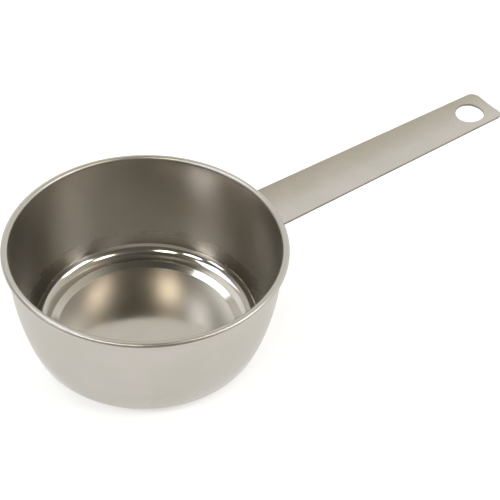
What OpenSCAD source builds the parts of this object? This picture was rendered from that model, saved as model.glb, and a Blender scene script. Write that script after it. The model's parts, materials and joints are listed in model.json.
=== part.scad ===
// Candle melting pot: a small deep-drawn stainless steel pan for melting wax, with a pressed strip
// handle spot-welded to its wall.
// Millimetres, +Z up. The origin is the centre of the resting face, on the axis of the bowl.
// The handle runs along +X.

/* [Bowl] */
// Outside diameter over the rolled rim
rim_d = 120; // [112:1:136]
// Height from the resting face to the top of the rolled rim
bowl_h = 52.5; // [50:0.5:59]
// Thickness of the drawn sheet
sheet = 0.7; // [0.5:0.1:0.9]
// Thickness of the rolled rim
bead_d = 3.2; // [2.8:0.1:4]
// Height of the straight wall, from its lower end to the top of the rim
straight_h = 7; // [5:0.5:9]
// Radius of the barrel curve that draws the lower wall inwards
barrel_r = 124; // [110:1:160]
// Outside radius between the wall and the base
corner_r = 7.2; // [6:0.2:9]

/* [Base] */
// Height by which the centre of the base is pressed down
foot_h = 1.5; // [0.8:0.1:2]
// Width of the flat ledge around the pressed centre
ledge_w = 1.4; // [1:0.1:2.5]
// Width of the slope between the ledge and the pressed centre
foot_slope_w = 3.2; // [2:0.2:5]

/* [Handle] */
// Thickness of the handle strip
strip_t = 1.0; // [0.8:0.1:1.5]
// Width of the strip at the wall
strip_w = 25; // [22:0.5:28]
// Width of the strip at its tip
tip_w = 21.6; // [18:0.2:22]
// Distance from the axis of the bowl to the tip of the handle
reach = 192; // [150:1:220]
// Angle by which the handle rises
rise = 5.3; // [0:0.1:12]
// Height of the centre of the bend that turns the strip down the wall
bend_z = 39; // [37.5:0.5:40.5]
// Inside radius of that bend
bend_r = 3; // [2:0.5:4]
// Corner radius at the tip
tip_corner_r = 4.5; // [2:0.5:8]
// Diameter of the hanging hole
hole_d = 13.5; // [8:0.5:14]
// Distance from the centre of the hanging hole to the tip
hole_setback = 12.3; // [11:0.1:16]

/* [Welded tab] */
// Height of the lower end of the tab above the resting face
tab_z = 22; // [19.5:0.5:22.5]
// Corner radius at the lower end of the tab
tab_corner_r = 5; // [2:0.5:7]
// Diameter of each spot weld
weld_d = 4; // [3:0.5:4.5]
// Depth of each spot weld in the wall and in the tab
weld_depth = 0.4; // [0.2:0.05:0.45]
// Distance between the two columns of spot welds
weld_spacing_y = 13; // [10:1:14]
// Height of the lower row of spot welds
weld_low_z = 27; // [26.5:0.5:28.5]
// Height of the upper row of spot welds
weld_high_z = 34.5; // [33.5:0.5:35]
// Depth of the electrode mark outside each spot weld
mark_depth = 0.15; // [0.1:0.05:0.25]

/* [Hidden] */
$fn = 96;
// Circles that a large radius makes need finer steps in the preview.
LARGE_FN = 360;

// Bowl. The last of the wall turns over into the rolled rim at height rim_z.
rim_r = rim_d / 2;
bead_r = bead_d / 2;
rim_z = bowl_h - bead_r;
wall_r = rim_r - bead_d + sheet;
curve_z = bowl_h - straight_h;
curl_gap = 0.6;

// The barrel curve is centred at height curve_z. The corner arc touches it and the ledge.
barrel_x = wall_r - barrel_r;
corner_z = foot_h + corner_r;
corner_angle = asin((curve_z - corner_z) / (barrel_r - corner_r));
corner_x = barrel_x + (barrel_r - corner_r) * cos(corner_angle);

// Pressed centre of the base
foot_top_r = corner_x - ledge_w;
foot_low_r = foot_top_r - foot_slope_w;

// The bend is centred bend_out beyond the wall, where the barrel curve has turned by bend_angle.
bend_out = bend_r + strip_t;
bend_angle = asin((curve_z - bend_z) / (barrel_r + bend_out));
bend_x = barrel_x + (barrel_r + bend_out) * cos(bend_angle);

// The strip thins a little where it bends, and the bend laps into the stretches on both sides of it.
bend_thinning = 0.02;
bend_lap = 3;

// Grip, measured along the strip from the centre of the bend
grip_l = (reach - bend_x) / cos(rise);
hole_x = grip_l - hole_setback;
taper = atan((strip_w - tip_w) / 2 / grip_l);
tip_corner_x = grip_l - tip_corner_r;
tip_corner_y = (strip_w / 2 - tip_corner_x * tan(taper)) - tip_corner_r / cos(taper);

// An electrode mark is a shallow cap of a ball, mark_d across on the face of the tab.
mark_d = weld_d + 1;
mark_ball_r = pow(mark_d / 2, 2) / (2 * mark_depth) + mark_depth / 2;

// Clearance by which a cutting shape runs past the face that it cuts
over = 1;

WELDS = [1:4];

// Sector outside which the corner arc changes nothing: from straight down to the barrel curve.
module corner_sector() {
    far = 3 * corner_r;
    translate([corner_x, corner_z])
        polygon([
            [0, 0],
            [0, -far],
            [far, -far],
            [far * cos(corner_angle), -far * sin(corner_angle)]
        ]);
}

// Half section of the pressed centre, with its lower face at height z.
module foot_outline(z) {
    translate([0, z])
        polygon([
            [0, 0],
            [foot_low_r, 0],
            [foot_top_r, foot_h],
            [foot_top_r, foot_h + over],
            [0, foot_h + over]
        ]);
}

// Half section of all that lies within one skin of the bowl, inset from the outer skin.
module skin_outline(inset, top_z) {
    ledge_z = foot_h + inset;
    difference() {
        intersection() {
            translate([0, ledge_z]) square([wall_r - inset, top_z - ledge_z]);
            union() {
                translate([barrel_x, curve_z]) circle(barrel_r - inset, $fn = LARGE_FN);
                translate([0, curve_z]) square([wall_r, top_z - curve_z]);
            }
        }
        difference() {
            corner_sector();
            translate([corner_x, corner_z]) circle(corner_r - inset);
        }
    }
    foot_outline(inset);
}

// Half section of the hollow rolled rim, open by a narrow slit beside the wall.
module curl_section() {
    translate([rim_r - bead_r, rim_z])
        difference() {
            circle(bead_r);
            circle(bead_r - sheet);
            translate([wall_r - rim_r + bead_r, -bead_d]) square([curl_gap, bead_d]);
        }
}

// Section of the handle strip: a shallow trough with the curve of the wall, standing at the wall.
module strip_section(width, thinning = 0) {
    intersection() {
        difference() {
            circle(wall_r + strip_t - thinning, $fn = LARGE_FN);
            circle(wall_r + thinning, $fn = LARGE_FN);
        }
        translate([0, -width / 2]) square([wall_r + 2 * strip_t, width]);
    }
}

// The same section turned over, as the bend and the grip carry it.
module grip_section(width, thinning = 0) {
    translate([bend_out + wall_r, 0]) mirror([1, 0]) strip_section(width, thinning);
}

// Stretch that follows the barrel curve of the wall, from the bend down past the end of the tab.
module tab_stretch() {
    low_angle = asin((curve_z - tab_z + over) / barrel_r);
    translate([barrel_x, 0, curve_z])
        rotate([90, low_angle, 0])
            rotate_extrude(angle = low_angle - bend_angle)
                translate([-barrel_x, 0]) strip_section(strip_w + 2 * over);
}

// Front view of the tab, rounded at its lower corners, as a block along X up to the bend.
module tab_block() {
    corner_y = strip_w / 2 - tab_corner_r;
    straight_z = tab_z + tab_corner_r;
    rotate([90, 0, 90])
        linear_extrude(reach) {
            translate([-strip_w / 2, straight_z]) square([strip_w, bowl_h - straight_z]);
            translate([-corner_y, tab_z]) square([2 * corner_y, 2 * tab_corner_r]);
            for (side = [-1, 1])
                translate([side * corner_y, straight_z]) circle(tab_corner_r);
        }
}

// Bend of about a right angle, from the tab into the grip.
module bend_stretch() {
    first = 90 + rise - bend_lap;
    last = 180 - bend_angle + bend_lap;
    translate([bend_x, 0, bend_z])
        rotate([90, -first, 0])
            rotate_extrude(angle = last - first)
                grip_section(strip_w - 2 * bend_thinning, bend_thinning);
}

// Plan of the grip: tapered, with rounded corners at the tip.
module grip_plan() {
    side_x = tip_corner_x + tip_corner_r * sin(taper);
    side_y = tip_corner_y + tip_corner_r * cos(taper);
    polygon([
        [0, -strip_w / 2],
        [side_x, -side_y],
        [grip_l, -tip_corner_y],
        [grip_l, tip_corner_y],
        [side_x, side_y],
        [0, strip_w / 2]
    ]);
    for (side = [-1, 1])
        translate([tip_corner_x, side * tip_corner_y]) circle(tip_corner_r);
}

// Straight stretch that the hand holds, with its hanging hole.
module grip_stretch() {
    block_h = bend_out + wall_r;
    translate([bend_x, 0, bend_z])
        rotate([0, -rise, 0])
            difference() {
                intersection() {
                    rotate([0, -90, 0])
                        translate([0, 0, -grip_l - over])
                            linear_extrude(grip_l + over) grip_section(strip_w + 2 * over);
                    linear_extrude(block_h) grip_plan();
                }
                translate([hole_x, 0, 0]) cylinder(h = block_h, d = hole_d);
            }
}

// Places its children on the wall at spot weld i, with X straight out of the sheet.
module at_weld(i) {
    side = i % 2 == 1 ? -1 : 1;
    z = i <= 2 ? weld_low_z : weld_high_z;
    lean = asin((curve_z - z) / barrel_r);
    wall_x = barrel_x + barrel_r * cos(lean);
    rotate([0, 0, side * asin(weld_spacing_y / 2 / wall_x)])
        translate([wall_x, 0, z])
            rotate([0, lean, 0])
                children();
}

// One fused disc, half of it in the wall and half in the tab.
module weld_disc(i) {
    at_weld(i)
        rotate([0, 90, 0])
            translate([0, 0, -weld_depth]) cylinder(h = 2 * weld_depth, d = weld_d);
}

// The mark that the electrode leaves on the face of the tab.
module electrode_mark(i) {
    at_weld(i)
        intersection() {
            translate([strip_t - mark_depth + mark_ball_r, 0, 0]) sphere(mark_ball_r);
            rotate([0, 90, 0]) cylinder(h = strip_t + over, d = mark_d + over);
        }
}

module bowl() {
    color("silver")
        difference() {
            rotate_extrude($fn = 180) {
                difference() {
                    skin_outline(0, rim_z);
                    skin_outline(sheet, rim_z + over);
                }
                curl_section();
            }
            for (i = WELDS) weld_disc(i);
        }
}

module handle() {
    color("lightgray")
        difference() {
            union() {
                intersection() {
                    tab_stretch();
                    tab_block();
                }
                bend_stretch();
                grip_stretch();
            }
            for (i = WELDS) {
                weld_disc(i);
                electrode_mark(i);
            }
        }
}

module spot_weld(i) {
    color("dimgray") weld_disc(i);
}

bowl();
handle();
for (i = WELDS)
    spot_weld(i);
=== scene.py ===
import json
import math

import bmesh
import bpy
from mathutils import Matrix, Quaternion, Vector


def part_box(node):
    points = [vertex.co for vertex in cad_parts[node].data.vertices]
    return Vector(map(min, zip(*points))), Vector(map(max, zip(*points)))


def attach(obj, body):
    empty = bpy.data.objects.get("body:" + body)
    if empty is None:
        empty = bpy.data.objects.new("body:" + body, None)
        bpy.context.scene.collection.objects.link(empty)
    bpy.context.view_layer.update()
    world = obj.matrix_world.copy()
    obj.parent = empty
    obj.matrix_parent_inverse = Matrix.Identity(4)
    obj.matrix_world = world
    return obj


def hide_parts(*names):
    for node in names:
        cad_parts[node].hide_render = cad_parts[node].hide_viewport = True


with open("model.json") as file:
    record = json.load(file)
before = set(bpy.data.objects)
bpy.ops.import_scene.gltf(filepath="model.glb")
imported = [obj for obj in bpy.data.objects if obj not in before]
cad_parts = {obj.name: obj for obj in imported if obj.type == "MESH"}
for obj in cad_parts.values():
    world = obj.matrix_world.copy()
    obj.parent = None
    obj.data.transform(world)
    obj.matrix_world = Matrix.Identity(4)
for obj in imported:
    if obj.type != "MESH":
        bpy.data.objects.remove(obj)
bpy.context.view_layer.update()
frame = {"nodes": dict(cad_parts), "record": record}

MM = 0.001

# ---------------------------------------------------------------------------
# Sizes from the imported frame, in metres
# ---------------------------------------------------------------------------
BOWL_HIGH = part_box("bowl")[1]
HANDLE_LOW, HANDLE_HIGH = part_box("handle")
HOLE = next(m for m in frame["record"]["mounts"] if m["name"] == "hanging_hole")

RIM_R = BOWL_HIGH.x
BOWL_H = BOWL_HIGH.z
STRIP_W = HANDLE_HIGH.y - HANDLE_LOW.y
TAB_Z = HANDLE_LOW.z
RISE = math.atan2(-HOLE["axis"][0], HOLE["axis"][2])
HOLE_R = HOLE["dims"]["r_mm"] * MM
HOLE_AT = Vector(HOLE["pos_m"])

# ---------------------------------------------------------------------------
# Sizes that part.scad sets, in metres
# ---------------------------------------------------------------------------
SHEET = 0.7 * MM
BEAD_R = 1.6 * MM
STRAIGHT_H = 7 * MM
BARREL_R = 124 * MM
CORNER_R = 7.2 * MM
FOOT_H = 1.5 * MM
LEDGE_W = 1.4 * MM
FOOT_SLOPE_W = 3.2 * MM
CURL_GAP = 0.6 * MM

STRIP_T = 1 * MM
TIP_W = 21.6 * MM
BEND_Z = 39 * MM
BEND_R = 3 * MM
TIP_CORNER_R = 4.5 * MM
TAB_CORNER_R = 5 * MM

WELD_SPACING_Y = 13 * MM
WELD_HEIGHTS = (27 * MM, 34.5 * MM)
WELD_MARK_R = 2.5 * MM
WELD_MARK_DEPTH = 0.15 * MM

# Worked out as part.scad does
RIM_Z = BOWL_H - BEAD_R
BEAD_X = RIM_R - BEAD_R
WALL_R = RIM_R - 2 * BEAD_R + SHEET
CURVE_Z = BOWL_H - STRAIGHT_H
BARREL_X = WALL_R - BARREL_R
CORNER_Z = FOOT_H + CORNER_R
CORNER_ANGLE = math.asin((CURVE_Z - CORNER_Z) / (BARREL_R - CORNER_R))
CORNER_X = BARREL_X + (BARREL_R - CORNER_R) * math.cos(CORNER_ANGLE)
FOOT_TOP_R = CORNER_X - LEDGE_W
FOOT_LOW_R = FOOT_TOP_R - FOOT_SLOPE_W

BEND_OUT = BEND_R + STRIP_T
REACH = HANDLE_HIGH.x + BEND_R * math.sin(RISE)
BEND_ANGLE = math.asin((CURVE_Z - BEND_Z) / (BARREL_R + BEND_OUT))
BEND_X = BARREL_X + (BARREL_R + BEND_OUT) * math.cos(BEND_ANGLE)
GRIP_L = (REACH - BEND_X) / math.cos(RISE)
TAPER = math.atan((STRIP_W - TIP_W) / 2 / GRIP_L)
TIP_CORNER_X = GRIP_L - TIP_CORNER_R
TIP_CORNER_Y = STRIP_W / 2 - TIP_CORNER_X * math.tan(TAPER) - TIP_CORNER_R / math.cos(TAPER)

# ---------------------------------------------------------------------------
# Finish of the edges
# ---------------------------------------------------------------------------
# Radius of the two pressed edges of the base
PRESS_ROUND = 1.0 * MM
# Radius of the sheared edges of the strip
EDGE_ROUND = 0.16 * MM
EDGE_ROUND_SEGMENTS = 3
# Face attribute that is 1 on the sheared edges of the strip and 0 elsewhere. The material paints shade on
# these faces and makes them rougher
SHEARED = "sheared"
# Edges sharper than this aren't smoothed over
SHARP_ANGLE = math.radians(50)

# ---------------------------------------------------------------------------
# Fineness of the meshes, as numbers of steps
# ---------------------------------------------------------------------------
BOWL_SEGMENTS = 256
BASE_STEPS = 8
ROUND_STEPS = 6
CORNER_STEPS = 14
BARREL_STEPS = 24
STRAIGHT_STEPS = 4
CURL_INSIDE_STEPS = 20
CURL_OUTSIDE_STEPS = 32

STRIP_ROWS = 56
TAB_END_STEPS = 20
TAB_STEPS = 22
BEND_STEPS = 14
GRIP_STEPS = 70
HOLE_STEPS = 44
TIP_STEPS = 14
HOLE_RINGS = 6
# Distance from the hanging hole to the sides of the block that is meshed in rings
HOLE_MARGIN = 2 * MM


def spread(start, end, steps):
    """steps + 1 evenly spaced numbers from start to end."""
    return [start + (end - start) * i / steps for i in range(steps + 1)]


def eased(start, end, steps):
    """steps + 1 numbers from start to end, closer together at both ends."""
    return [start + (end - start) * (1 - math.cos(math.pi * i / steps)) / 2 for i in range(steps + 1)]


def arc(centre, radius, start, end, steps):
    """Points on an arc in the plane of a half section, angles in radians."""
    return [
        (centre[0] + radius * math.cos(a), centre[1] + radius * math.sin(a))
        for a in spread(start, end, steps)
    ]


def rounded(before, corner, after, radius):
    """Points of the arc that rounds one corner of a half section."""
    corner = Vector(corner)
    to_before = (Vector(before) - corner).normalized()
    to_after = (Vector(after) - corner).normalized()
    half = to_before.angle(to_after) / 2
    tangent_l = radius / math.tan(half)
    centre = corner + (to_before + to_after).normalized() * radius / math.sin(half)
    first = corner + to_before * tangent_l - centre
    turn = first.angle_signed(corner + to_after * tangent_l - centre)
    start = math.atan2(first.y, first.x)
    return arc(centre, radius, start, start - turn, ROUND_STEPS)


# ---------------------------------------------------------------------------
# Bowl: a half section turned about the axis
# ---------------------------------------------------------------------------
def skin(inset):
    """Half section of one face of the sheet, from the axis to the height of the rolled rim."""
    axis = (0, inset)
    low = (FOOT_LOW_R, inset)
    top = (FOOT_TOP_R, FOOT_H + inset)
    ledge = (CORNER_X, FOOT_H + inset)
    points = [(r, inset) for r in spread(0, FOOT_LOW_R - PRESS_ROUND, BASE_STEPS)]
    points += rounded(axis, low, top, PRESS_ROUND)
    points += rounded(low, top, ledge, PRESS_ROUND)
    corner = (CORNER_X, CORNER_Z)
    points += arc(corner, CORNER_R - inset, -math.pi / 2, -CORNER_ANGLE, CORNER_STEPS)
    points += arc((BARREL_X, CURVE_Z), BARREL_R - inset, -CORNER_ANGLE, 0, BARREL_STEPS)[1:]
    points += [(WALL_R - inset, z) for z in spread(CURVE_Z, RIM_Z, STRAIGHT_STEPS)[1:]]
    return points


def bowl_section():
    """Closed half section of the bowl: outer face, inside and outside of the curl, inner face."""
    centre = (BEAD_X, RIM_Z)
    hollow_r = BEAD_R - SHEET
    slit_x = WALL_R + CURL_GAP - BEAD_X
    inner_end = -math.acos(slit_x / hollow_r)
    outer_end = -math.acos(slit_x / BEAD_R)
    points = skin(0)
    points += arc(centre, hollow_r, math.pi, inner_end, CURL_INSIDE_STEPS)[1:]
    points += arc(centre, BEAD_R, outer_end, math.pi, CURL_OUTSIDE_STEPS)
    points += skin(SHEET)[-2::-1]
    return points


def make_object(name, mesh_builder, material, material_slot, *nodes):
    """A smooth-shaded piece that rides on the only body and stands for CAD nodes."""
    mesh = bpy.data.meshes.new(name)
    bmesh.ops.recalc_face_normals(mesh_builder, faces=mesh_builder.faces)
    mesh_builder.to_mesh(mesh)
    mesh_builder.free()
    mesh.shade_smooth()
    mesh.set_sharp_from_angle(angle=SHARP_ANGLE)
    mesh.materials.append(material)
    piece = bpy.data.objects.new(name, mesh)
    bpy.context.scene.collection.objects.link(piece)
    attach(piece, "root")
    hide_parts(*nodes)
    return piece


def make_bowl(material):
    """Turns the half section about the axis."""
    section = bowl_section()
    bm = bmesh.new()
    columns = []
    first_pole = bm.verts.new((0, 0, section[0][1]))
    last_pole = bm.verts.new((0, 0, section[-1][1]))
    ring_points = section[1:-1]
    for i in range(BOWL_SEGMENTS):
        angle = 2 * math.pi * i / BOWL_SEGMENTS
        columns.append([
            bm.verts.new((r * math.cos(angle), r * math.sin(angle), z)) for r, z in ring_points
        ])
    for i in range(BOWL_SEGMENTS):
        here, beside = columns[i - 1], columns[i]
        bm.faces.new((first_pole, here[0], beside[0]))
        bm.faces.new((last_pole, beside[-1], here[-1]))
        for j in range(len(ring_points) - 1):
            bm.faces.new((here[j], here[j + 1], beside[j + 1], beside[j]))
    return make_object("bowl_shell", bm, material, "bowl_steel", "bowl")


# ---------------------------------------------------------------------------
# Handle: a flat pattern of the strip, bent into place
# ---------------------------------------------------------------------------
TAB_ANGLE = math.asin((CURVE_Z - TAB_Z) / BARREL_R)
TAB_L = BARREL_R * (TAB_ANGLE - BEND_ANGLE)
BEND_TURN = math.pi / 2 - BEND_ANGLE - RISE
BEND_L = BEND_OUT * BEND_TURN
STRIP_L = TAB_L + BEND_L + GRIP_L
GRIP_START = TAB_L + BEND_L


def half_width(s):
    """Half the width of the flat pattern at distance s from the lower end of the tab."""
    if s < TAB_CORNER_R:
        return STRIP_W / 2 - TAB_CORNER_R + math.sqrt(TAB_CORNER_R ** 2 - (TAB_CORNER_R - s) ** 2)
    x = max(0, s - GRIP_START)
    past_corner = x - TIP_CORNER_X
    if past_corner > TIP_CORNER_R * math.sin(TAPER):
        return TIP_CORNER_Y + math.sqrt(max(0, TIP_CORNER_R ** 2 - past_corner ** 2))
    return STRIP_W / 2 - x * math.tan(TAPER)


def weld_dent(s, y):
    """Depth of the electrode marks at one place of the tab."""
    for z in WELD_HEIGHTS:
        weld_s = BARREL_R * (TAB_ANGLE - math.asin((CURVE_Z - z) / BARREL_R))
        distance = math.hypot(s - weld_s, abs(y) - WELD_SPACING_Y / 2)
        if distance < WELD_MARK_R:
            return WELD_MARK_DEPTH * (1 - (distance / WELD_MARK_R) ** 2)
    return 0


def bent(s, y, depth):
    """Place in space of a point of the strip, depth below its upper face."""
    out = math.sqrt((WALL_R + depth) ** 2 - y ** 2) - WALL_R
    if s < TAB_L:
        angle = TAB_ANGLE - s / BARREL_R
        radius = BARREL_R + out
        return (BARREL_X + radius * math.cos(angle), y, CURVE_Z - radius * math.sin(angle))
    from_centre = BEND_OUT - out
    turned = min(1, (s - TAB_L) / BEND_L) * BEND_TURN
    angle = math.pi - BEND_ANGLE - turned
    along = max(0, s - GRIP_START)
    return (
        BEND_X + from_centre * math.cos(angle) + along * math.cos(RISE),
        y,
        BEND_Z + from_centre * math.sin(angle) + along * math.sin(RISE),
    )


def strip_pattern():
    """Points (s, y) and faces of the flat pattern, with its hole."""
    hole_fold = (BEND_OUT - STRIP_T / 2) * math.sin(RISE)
    hole_s = GRIP_START + (HOLE_AT.x - BEND_X + hole_fold) / math.cos(RISE)
    reach_s = HOLE_R + HOLE_MARGIN
    stations = eased(0, 2 * TAB_CORNER_R, TAB_END_STEPS)
    stations += spread(2 * TAB_CORNER_R, TAB_L, TAB_STEPS)[1:]
    stations += spread(TAB_L, GRIP_START, BEND_STEPS)[1:]
    stations += spread(GRIP_START, hole_s - reach_s, GRIP_STEPS)[1:]
    hole_first = len(stations) - 1
    stations += spread(hole_s - reach_s, hole_s + reach_s, HOLE_STEPS)[1:]
    hole_last = len(stations) - 1
    stations += eased(hole_s + reach_s, STRIP_L, TIP_STEPS)[1:]

    row_margin = round(STRIP_ROWS / 2 * (1 - reach_s / half_width(hole_s)))
    hole_rows = (row_margin, STRIP_ROWS - row_margin)
    points, index = [], {}
    for i, s in enumerate(stations):
        for j, t in enumerate(spread(-1, 1, STRIP_ROWS)):
            inside_s = hole_first < i < hole_last
            inside_y = hole_rows[0] < j < hole_rows[1]
            if not (inside_s and inside_y):
                index[i, j] = len(points)
                points.append(Vector((s, t * half_width(s))))
    faces = []
    for i in range(len(stations) - 1):
        for j in range(STRIP_ROWS):
            in_block = hole_first <= i < hole_last and hole_rows[0] <= j < hole_rows[1]
            if not in_block:
                faces.append((index[i, j], index[i + 1, j], index[i + 1, j + 1], index[i, j + 1]))

    border = [(i, hole_rows[0]) for i in range(hole_first, hole_last)]
    border += [(hole_last, j) for j in range(*hole_rows)]
    border += [(i, hole_rows[1]) for i in range(hole_last, hole_first, -1)]
    border += [(hole_first, j) for j in range(hole_rows[1], hole_rows[0], -1)]
    centre = Vector((hole_s, 0))
    outer = [index[place] for place in border]
    ring = outer
    for k in range(1, HOLE_RINGS + 1):
        next_ring = []
        for corner in outer:
            from_centre = points[corner] - centre
            on_circle = centre + from_centre.normalized() * HOLE_R
            next_ring.append(len(points))
            points.append(points[corner].lerp(on_circle, k / HOLE_RINGS))
        for a in range(len(ring)):
            faces.append((ring[a - 1], ring[a], next_ring[a], next_ring[a - 1]))
        ring = next_ring
    return points, faces


def make_handle(material):
    """Bends the flat pattern, gives it thickness and rounds its sheared edges."""
    points, faces = strip_pattern()
    bm = bmesh.new()
    upper = [bm.verts.new(bent(s, y, 0)) for s, y in points]
    under = [bm.verts.new(bent(s, y, STRIP_T - weld_dent(s, y))) for s, y in points]
    for face in faces:
        bm.faces.new([upper[i] for i in face])
        bm.faces.new([under[i] for i in reversed(face)])
    open_edges = [e for e in bm.edges if e.is_boundary]
    partner = dict(zip(upper, under))
    rims = [e for e in open_edges if e.verts[0] in partner]
    sheared = bm.faces.layers.float.new(SHEARED)
    for edge in rims:
        a, b = edge.verts
        bm.faces.new((a, b, partner[b], partner[a]))[sheared] = 1
    bmesh.ops.recalc_face_normals(bm, faces=bm.faces)
    bmesh.ops.bevel(
        bm,
        geom=open_edges,
        offset=EDGE_ROUND,
        segments=EDGE_ROUND_SEGMENTS,
        profile=0.5,
        affect="EDGES",
    )
    return make_object("handle_strip", bm, material, "handle_steel", "handle")


# ---------------------------------------------------------------------------
# Materials
# ---------------------------------------------------------------------------
def rgb(red, green, blue):
    """A colour as a shader socket takes it."""
    return (red, green, blue, 1.0)


# Each surface varies between two tones.
BOWL_TONES = (rgb(0.475, 0.452, 0.405), rgb(0.50, 0.468, 0.435))
STRIP_TONES = (rgb(0.48, 0.458, 0.41), rgb(0.51, 0.478, 0.445))
# The sheared edges' dark tones are painted shade for the strip's thin edge faces, not a darker steel
SHEARED_EDGE_SHADE_TONES = (rgb(0.20, 0.175, 0.15), rgb(0.27, 0.235, 0.205))
WELD_TONES = (rgb(0.34, 0.32, 0.29), rgb(0.46, 0.43, 0.40))
FLOOR_TONES = (rgb(0.60, 0.60, 0.60), rgb(0.63, 0.63, 0.63))

# The base is polished brighter than the wall. The change lies between these two heights.
BASE_ROUGHNESS = 0.1
WALL_ROUGHNESS = 0.34
POLISH_LOW_Z = 4 * MM
POLISH_HIGH_Z = 17 * MM
STRIP_ROUGHNESS = 0.24
SHEARED_ROUGHNESS = 0.45
WELD_ROUGHNESS = 0.45
FLOOR_ROUGHNESS = 0.9

# Noise values between which a tone, or the roughness, goes from one end to the other
TONE_RANGE = (0.3, 0.7)
ROUGHNESS_RANGE = (0.35, 0.65)

# Fineness of the polishing marks: long along the polish, short across it
POLISH_SCALE = 1.4
MARKS_ROUND_AXIS = 2.2
MARKS_ACROSS = 2000
STRIP_MARKS_ALONG = 60
STRIP_MARKS_ACROSS = 1600
WELD_GRAIN_SCALE = 2500

# Fineness of the wide blotches
BOWL_BLOTCH_SCALE = 70
STRIP_BLOTCH_SCALE = 90
WELD_BLOTCH_SCALE = 600
FLOOR_BLOTCH_SCALE = 9

# Turn of the stretched highlights away from the tangent, in full turns
ANISOTROPY_TURN = 0.25


class Nodes:
    """Short way to add and link the nodes of one material or world."""

    def __init__(self, owner):
        owner.use_nodes = True
        self.owner = owner
        self.tree = owner.node_tree
        self.tree.nodes.clear()

    def add(self, kind, inputs=None, **settings):
        node = self.tree.nodes.new(kind)
        for key, value in settings.items():
            setattr(node, key, value)
        for key, value in (inputs or {}).items():
            self.set(node, key, value)
        return node

    def set(self, node, key, value):
        if isinstance(value, bpy.types.NodeSocket):
            self.tree.links.new(value, node.inputs[key])
        else:
            node.inputs[key].default_value = value

    def math(self, operation, *values):
        inputs = dict(enumerate(values))
        return self.add("ShaderNodeMath", inputs, operation=operation).outputs[0]

    def ramp(self, value, low, high, to_low=0.0, to_high=1.0):
        """Maps value from low..high to to_low..to_high, smoothly and clamped."""
        inputs = {0: value, 1: low, 2: high, 3: to_low, 4: to_high}
        return self.add("ShaderNodeMapRange", inputs, interpolation_type="SMOOTHSTEP").outputs[0]

    def noise(self, vector, scale, detail=2.0, w=None):
        inputs = {"Vector": vector, "Scale": scale, "Detail": detail}
        settings = {"noise_dimensions": "3D"}
        if w is not None:
            inputs["W"] = w
            settings = {"noise_dimensions": "4D"}
        return self.add("ShaderNodeTexNoise", inputs, **settings).outputs["Fac"]

    def bump(self, height, strength, distance, **inputs):
        """Normal of a bumped surface. A bump below it comes in as Normal."""
        inputs = {"Height": height, "Strength": strength, "Distance": distance, **inputs}
        return self.add("ShaderNodeBump", inputs).outputs[0]

    def mix(self, factor, a, b):
        """Mixes two colours."""
        node = self.add("ShaderNodeMix", data_type="RGBA")
        self.set(node, 0, factor)
        self.set(node, 6, a)
        self.set(node, 7, b)
        return node.outputs[2]


def place(nodes):
    """Object coordinates, whole and apart."""
    coordinate = nodes.add("ShaderNodeTexCoord").outputs["Object"]
    apart = nodes.add("ShaderNodeSeparateXYZ", {0: coordinate}).outputs
    return coordinate, apart


def turned_grain(nodes):
    """Coordinates, height, and noise that runs round the axis of the bowl without a seam."""
    coordinate, (x, y, z) = place(nodes)
    flat = nodes.add("ShaderNodeCombineXYZ", {0: x, 1: y}).outputs[0]
    radius = nodes.add("ShaderNodeVectorMath", {0: flat}, operation="LENGTH").outputs["Value"]
    around = nodes.add("ShaderNodeVectorMath", {0: flat}, operation="NORMALIZE").outputs[0]
    around_x, around_y, _ = nodes.add("ShaderNodeSeparateXYZ", {0: around}).outputs
    long_x = nodes.math("MULTIPLY", around_x, MARKS_ROUND_AXIS)
    long_y = nodes.math("MULTIPLY", around_y, MARKS_ROUND_AXIS)
    short_r = nodes.math("MULTIPLY", radius, MARKS_ACROSS)
    short_z = nodes.math("MULTIPLY", z, MARKS_ACROSS)
    vector = nodes.add("ShaderNodeCombineXYZ", {0: long_x, 1: long_y, 2: short_r}).outputs[0]
    return coordinate, z, nodes.noise(vector, POLISH_SCALE, 4.0, short_z)


def lengthwise_grain(nodes):
    """Coordinates, and noise that runs along the strip."""
    coordinate, (x, y, z) = place(nodes)
    long_x = nodes.math("MULTIPLY", x, STRIP_MARKS_ALONG)
    short_y = nodes.math("MULTIPLY", y, STRIP_MARKS_ACROSS)
    short_z = nodes.math("MULTIPLY", z, STRIP_MARKS_ACROSS)
    vector = nodes.add("ShaderNodeCombineXYZ", {0: long_x, 1: short_y, 2: short_z}).outputs[0]
    return coordinate, nodes.noise(vector, 1.0, 4.0)


def finish_steel(nodes, tones, grain, blotches, roughness, marks, waves, anisotropy, axis):
    """Joins colour variation, roughness and bump into one steel shader.

    roughness is the mean, its change with the grain and its change with the blotches. marks and
    waves are the strength and depth of the bump that the grain and the blotches make.
    """
    mean_roughness, grain_roughness, blotch_roughness = roughness
    colour = nodes.mix(nodes.ramp(blotches, *TONE_RANGE), *tones)
    fine = nodes.ramp(grain, *ROUGHNESS_RANGE, -0.5, 0.5)
    wide = nodes.ramp(blotches, *ROUGHNESS_RANGE, -0.5, 0.5)
    rough = nodes.math("MULTIPLY_ADD", fine, grain_roughness, mean_roughness)
    rough = nodes.math("MULTIPLY_ADD", wide, blotch_roughness, rough)
    marked = nodes.bump(grain, *marks)
    waved = nodes.bump(blotches, *waves, Normal=marked)
    tangent = nodes.add("ShaderNodeTangent", direction_type="RADIAL", axis=axis)
    shader = nodes.add(
        "ShaderNodeBsdfPrincipled",
        {
            "Base Color": colour,
            "Metallic": 1.0,
            "Roughness": rough,
            "Normal": waved,
            "Tangent": tangent.outputs[0],
            "Anisotropic": anisotropy,
            "Anisotropic Rotation": ANISOTROPY_TURN,
        },
    )
    nodes.add("ShaderNodeOutputMaterial", {0: shader.outputs[0]})
    return nodes.owner


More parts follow.
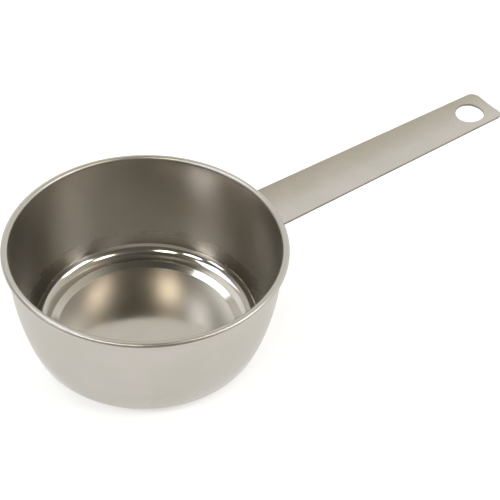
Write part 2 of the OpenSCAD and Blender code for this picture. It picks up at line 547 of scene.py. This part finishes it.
def bowl_steel():
    """Satin stainless steel polished round the axis of the bowl."""
    nodes = Nodes(bpy.data.materials.new("bowl_satin_steel"))
    coordinate, z, grain = turned_grain(nodes)
    polish = nodes.ramp(z, POLISH_LOW_Z, POLISH_HIGH_Z, BASE_ROUGHNESS, WALL_ROUGHNESS)
    return finish_steel(
        nodes,
        BOWL_TONES,
        grain,
        nodes.noise(coordinate, BOWL_BLOTCH_SCALE, 3.0),
        roughness=(polish, 0.04, 0.03),
        marks=(0.02, 0.02 * MM),
        waves=(0.05, 0.4 * MM),
        anisotropy=0.1,
        axis="Z",
    )


def handle_steel():
    """Satin stainless strip with its grain along its length and duller, rougher sheared edges that carry
    painted shade in their dark tone.
    """
    nodes = Nodes(bpy.data.materials.new("handle_satin_steel"))
    sheared = nodes.add("ShaderNodeAttribute", attribute_name=SHEARED).outputs["Fac"]
    # Sheared edge faces take the dark tones as painted shade; their rougher finish is the real part
    tones = [nodes.mix(sheared, face, edge) for face, edge in zip(STRIP_TONES, SHEARED_EDGE_SHADE_TONES)]
    finish = nodes.ramp(sheared, 0.0, 1.0, STRIP_ROUGHNESS, SHEARED_ROUGHNESS)
    coordinate, grain = lengthwise_grain(nodes)
    return finish_steel(
        nodes,
        tones,
        grain,
        nodes.noise(coordinate, STRIP_BLOTCH_SCALE, 3.0),
        roughness=(finish, 0.08, 0.06),
        marks=(0.08, 0.03 * MM),
        waves=(0.06, 0.5 * MM),
        anisotropy=0.3,
        axis="X",
    )


def weld_steel():
    """Fused steel, darker and uneven."""
    nodes = Nodes(bpy.data.materials.new("weld_fused_steel"))
    coordinate, _ = place(nodes)
    return finish_steel(
        nodes,
        WELD_TONES,
        nodes.noise(coordinate, WELD_GRAIN_SCALE, 3.0),
        nodes.noise(coordinate, WELD_BLOTCH_SCALE, 2.0),
        roughness=(WELD_ROUGHNESS, 0.1, 0.15),
        marks=(0.3, 0.05 * MM),
        waves=(0.2, 0.1 * MM),
        anisotropy=0.0,
        axis="X",
    )


def floor_paint():
    """Matt pale floor with a faint unevenness, and a little light of its own, as in a light tent."""
    nodes = Nodes(bpy.data.materials.new("pale_floor"))
    coordinate, _ = place(nodes)
    tone = nodes.ramp(nodes.noise(coordinate, FLOOR_BLOTCH_SCALE, 3.0), *TONE_RANGE)
    colour = nodes.mix(tone, *FLOOR_TONES)
    shader = nodes.add(
        "ShaderNodeBsdfPrincipled",
        {
            "Base Color": colour,
            "Roughness": FLOOR_ROUGHNESS,
            "Specular IOR Level": FLOOR_SHINE,
            "Emission Color": rgb(1, 1, 1),
            "Emission Strength": FLOOR_GLOW,
        },
    )
    nodes.add("ShaderNodeOutputMaterial", {0: shader.outputs[0]})
    return nodes.owner


# ---------------------------------------------------------------------------
# Studio
# ---------------------------------------------------------------------------
FLOOR_SIZE = 6
FLOOR_CELLS = 8
FLOOR_GLOW = 0.56
FLOOR_SHINE = 0.1

CAMERA_AT = Vector((-186.55, -325.22, 385.21)) * MM
CAMERA_AIM = Vector((35.27, -25.07, 50.9)) * MM
CAMERA_ROLL = math.radians(3.95)
CAMERA_LENS = 86.4
CAMERA_SENSOR = 36

# Colours of the light tent, low and high, behind the pot and on the camera's side
TENT_BACK = rgb(1.12, 1.11, 1.09)
TENT_BACK_HIGH = rgb(0.88, 0.85, 0.74)
TENT_FRONT = rgb(0.165, 0.157, 0.127)
TENT_FRONT_HIGH = rgb(0.12, 0.115, 0.09)
# Azimuth and elevation of the middle of the bright side of the tent, in degrees
TENT_MIDDLE = (12, 10)
# Cosines of the angle from that place between which the tent goes from front to back colours
TENT_TURN = (-0.5, 0.85)
# Sines of the elevation between which the tent goes from low to high colours
TENT_HIGH = (0.6, 0.84)
# Sines of the elevation between which the tent dims overhead, and how dim it gets
OVERHEAD = (0.9, 0.995)
OVERHEAD_DIM = 0.25

# Azimuth, elevation and radiance of each warm lamp, and the angle at which its light ends, in degrees
LAMPS = ((-162, 58, 13.0), (118, 58, 10.0))
LAMP_REACH = 8.5
LAMP_COLOUR = rgb(1.0, 0.91, 0.78)

# Azimuth, elevation, angles covered across and up, and radiance of each cool window
WINDOWS = {
    "window_left": (-134, 47, 12, 10, 11.0),
    "window_left_low": (-114, 31, 14, 8, 8.0),
    "window_left_high": (-76, 60, 30, 18, 3.4),
    "window_right": (97, 38, 26, 14, 6.0),
}
WINDOW_COLOUR = (0.88, 0.94, 1.0)
WINDOW_DISTANCE = 2

AWAY = (CAMERA_AIM - CAMERA_AT).xy.normalized()
ACROSS = Vector((AWAY.y, -AWAY.x))


def make_camera():
    """Camera at the photograph's viewing angle."""
    data = bpy.data.cameras.new("camera")
    data.lens = CAMERA_LENS
    data.sensor_width = CAMERA_SENSOR
    camera = bpy.data.objects.new("camera", data)
    bpy.context.scene.collection.objects.link(camera)
    camera.location = CAMERA_AT
    camera.rotation_mode = "QUATERNION"
    level = (CAMERA_AIM - CAMERA_AT).to_track_quat("-Z", "Y")
    camera.rotation_quaternion = level @ Quaternion((0, 0, 1), CAMERA_ROLL)
    bpy.context.scene.camera = camera


def make_floor():
    """Floor under the resting face."""
    bm = bmesh.new()
    bmesh.ops.create_grid(bm, x_segments=FLOOR_CELLS, y_segments=FLOOR_CELLS, size=FLOOR_SIZE / 2)
    mesh = bpy.data.meshes.new("floor")
    bm.to_mesh(mesh)
    bm.free()
    mesh.materials.append(floor_paint())
    floor = bpy.data.objects.new("floor", mesh)
    bpy.context.scene.collection.objects.link(floor)


def studio_direction(azimuth, elevation):
    """Unit vector from the pot, in degrees: 0 is away from the camera, 90 to its right."""
    turn, lift = math.radians(azimuth), math.radians(elevation)
    level = AWAY * math.cos(turn) + ACROSS * math.sin(turn)
    return Vector((level.x * math.cos(lift), level.y * math.cos(lift), math.sin(lift)))


def make_window(name, azimuth, elevation, spread_across, spread_up, radiance):
    """Soft rectangular light that faces the pot, its size given by the angles that it covers."""
    direction = studio_direction(azimuth, elevation)
    data = bpy.data.lights.new(name, "AREA")
    data.shape = "RECTANGLE"
    data.size = 2 * WINDOW_DISTANCE * math.tan(math.radians(spread_across / 2))
    data.size_y = 2 * WINDOW_DISTANCE * math.tan(math.radians(spread_up / 2))
    data.energy = radiance * math.pi * data.size * data.size_y
    data.color = WINDOW_COLOUR
    window = bpy.data.objects.new(name, data)
    bpy.context.scene.collection.objects.link(window)
    window.location = direction * WINDOW_DISTANCE
    window.rotation_mode = "QUATERNION"
    window.rotation_quaternion = (-direction).to_track_quat("-Z", "Y")


def lamp_glow(nodes, direction, azimuth, elevation, radiance):
    """Soft round patch of warm light in the tent wall."""
    middle = studio_direction(azimuth, elevation)
    near = nodes.add("ShaderNodeVectorMath", {0: direction, 1: middle}, operation="DOT_PRODUCT")
    edge = math.cos(math.radians(LAMP_REACH))
    strength = nodes.ramp(near.outputs["Value"], edge, 1.0, 0.0, radiance)
    return nodes.add("ShaderNodeBackground", {"Color": LAMP_COLOUR, "Strength": strength}).outputs[0]


def make_world():
    """Light tent: bright behind the pot, darker overhead and on the camera's side, with two warm lamps."""
    world = bpy.data.worlds.new("light_tent")
    bpy.context.scene.world = world
    nodes = Nodes(world)
    direction = nodes.add("ShaderNodeTexCoord").outputs["Generated"]
    height = nodes.add("ShaderNodeSeparateXYZ", {0: direction}).outputs[2]
    facing = nodes.add(
        "ShaderNodeVectorMath",
        {0: direction, 1: studio_direction(*TENT_MIDDLE)},
        operation="DOT_PRODUCT",
    )
    behind = nodes.ramp(facing.outputs["Value"], *TENT_TURN)
    low = nodes.mix(behind, TENT_FRONT, TENT_BACK)
    high = nodes.mix(behind, TENT_FRONT_HIGH, TENT_BACK_HIGH)
    colour = nodes.mix(nodes.ramp(height, *TENT_HIGH), low, high)
    overhead = nodes.ramp(height, *OVERHEAD, 1.0, OVERHEAD_DIM)
    tent = nodes.add("ShaderNodeBackground", {"Color": colour, "Strength": overhead}).outputs[0]
    for lamp_settings in LAMPS:
        lamp = lamp_glow(nodes, direction, *lamp_settings)
        tent = nodes.add("ShaderNodeAddShader", {0: tent, 1: lamp}).outputs[0]
    nodes.add("ShaderNodeOutputWorld", {0: tent})


def finish_welds(material):
    """The spot welds keep their shape from the CAD model and get a material."""
    for name, node in frame["nodes"].items():
        if name.startswith("spot_weld"):
            node.data.materials.clear()
            node.data.materials.append(material)


make_bowl(bowl_steel())
make_handle(handle_steel())
finish_welds(weld_steel())
make_camera()
make_floor()
make_world()
for window_name, window_settings in WINDOWS.items():
    make_window(window_name, *window_settings)
bpy.context.scene.view_settings.view_transform = "Standard"
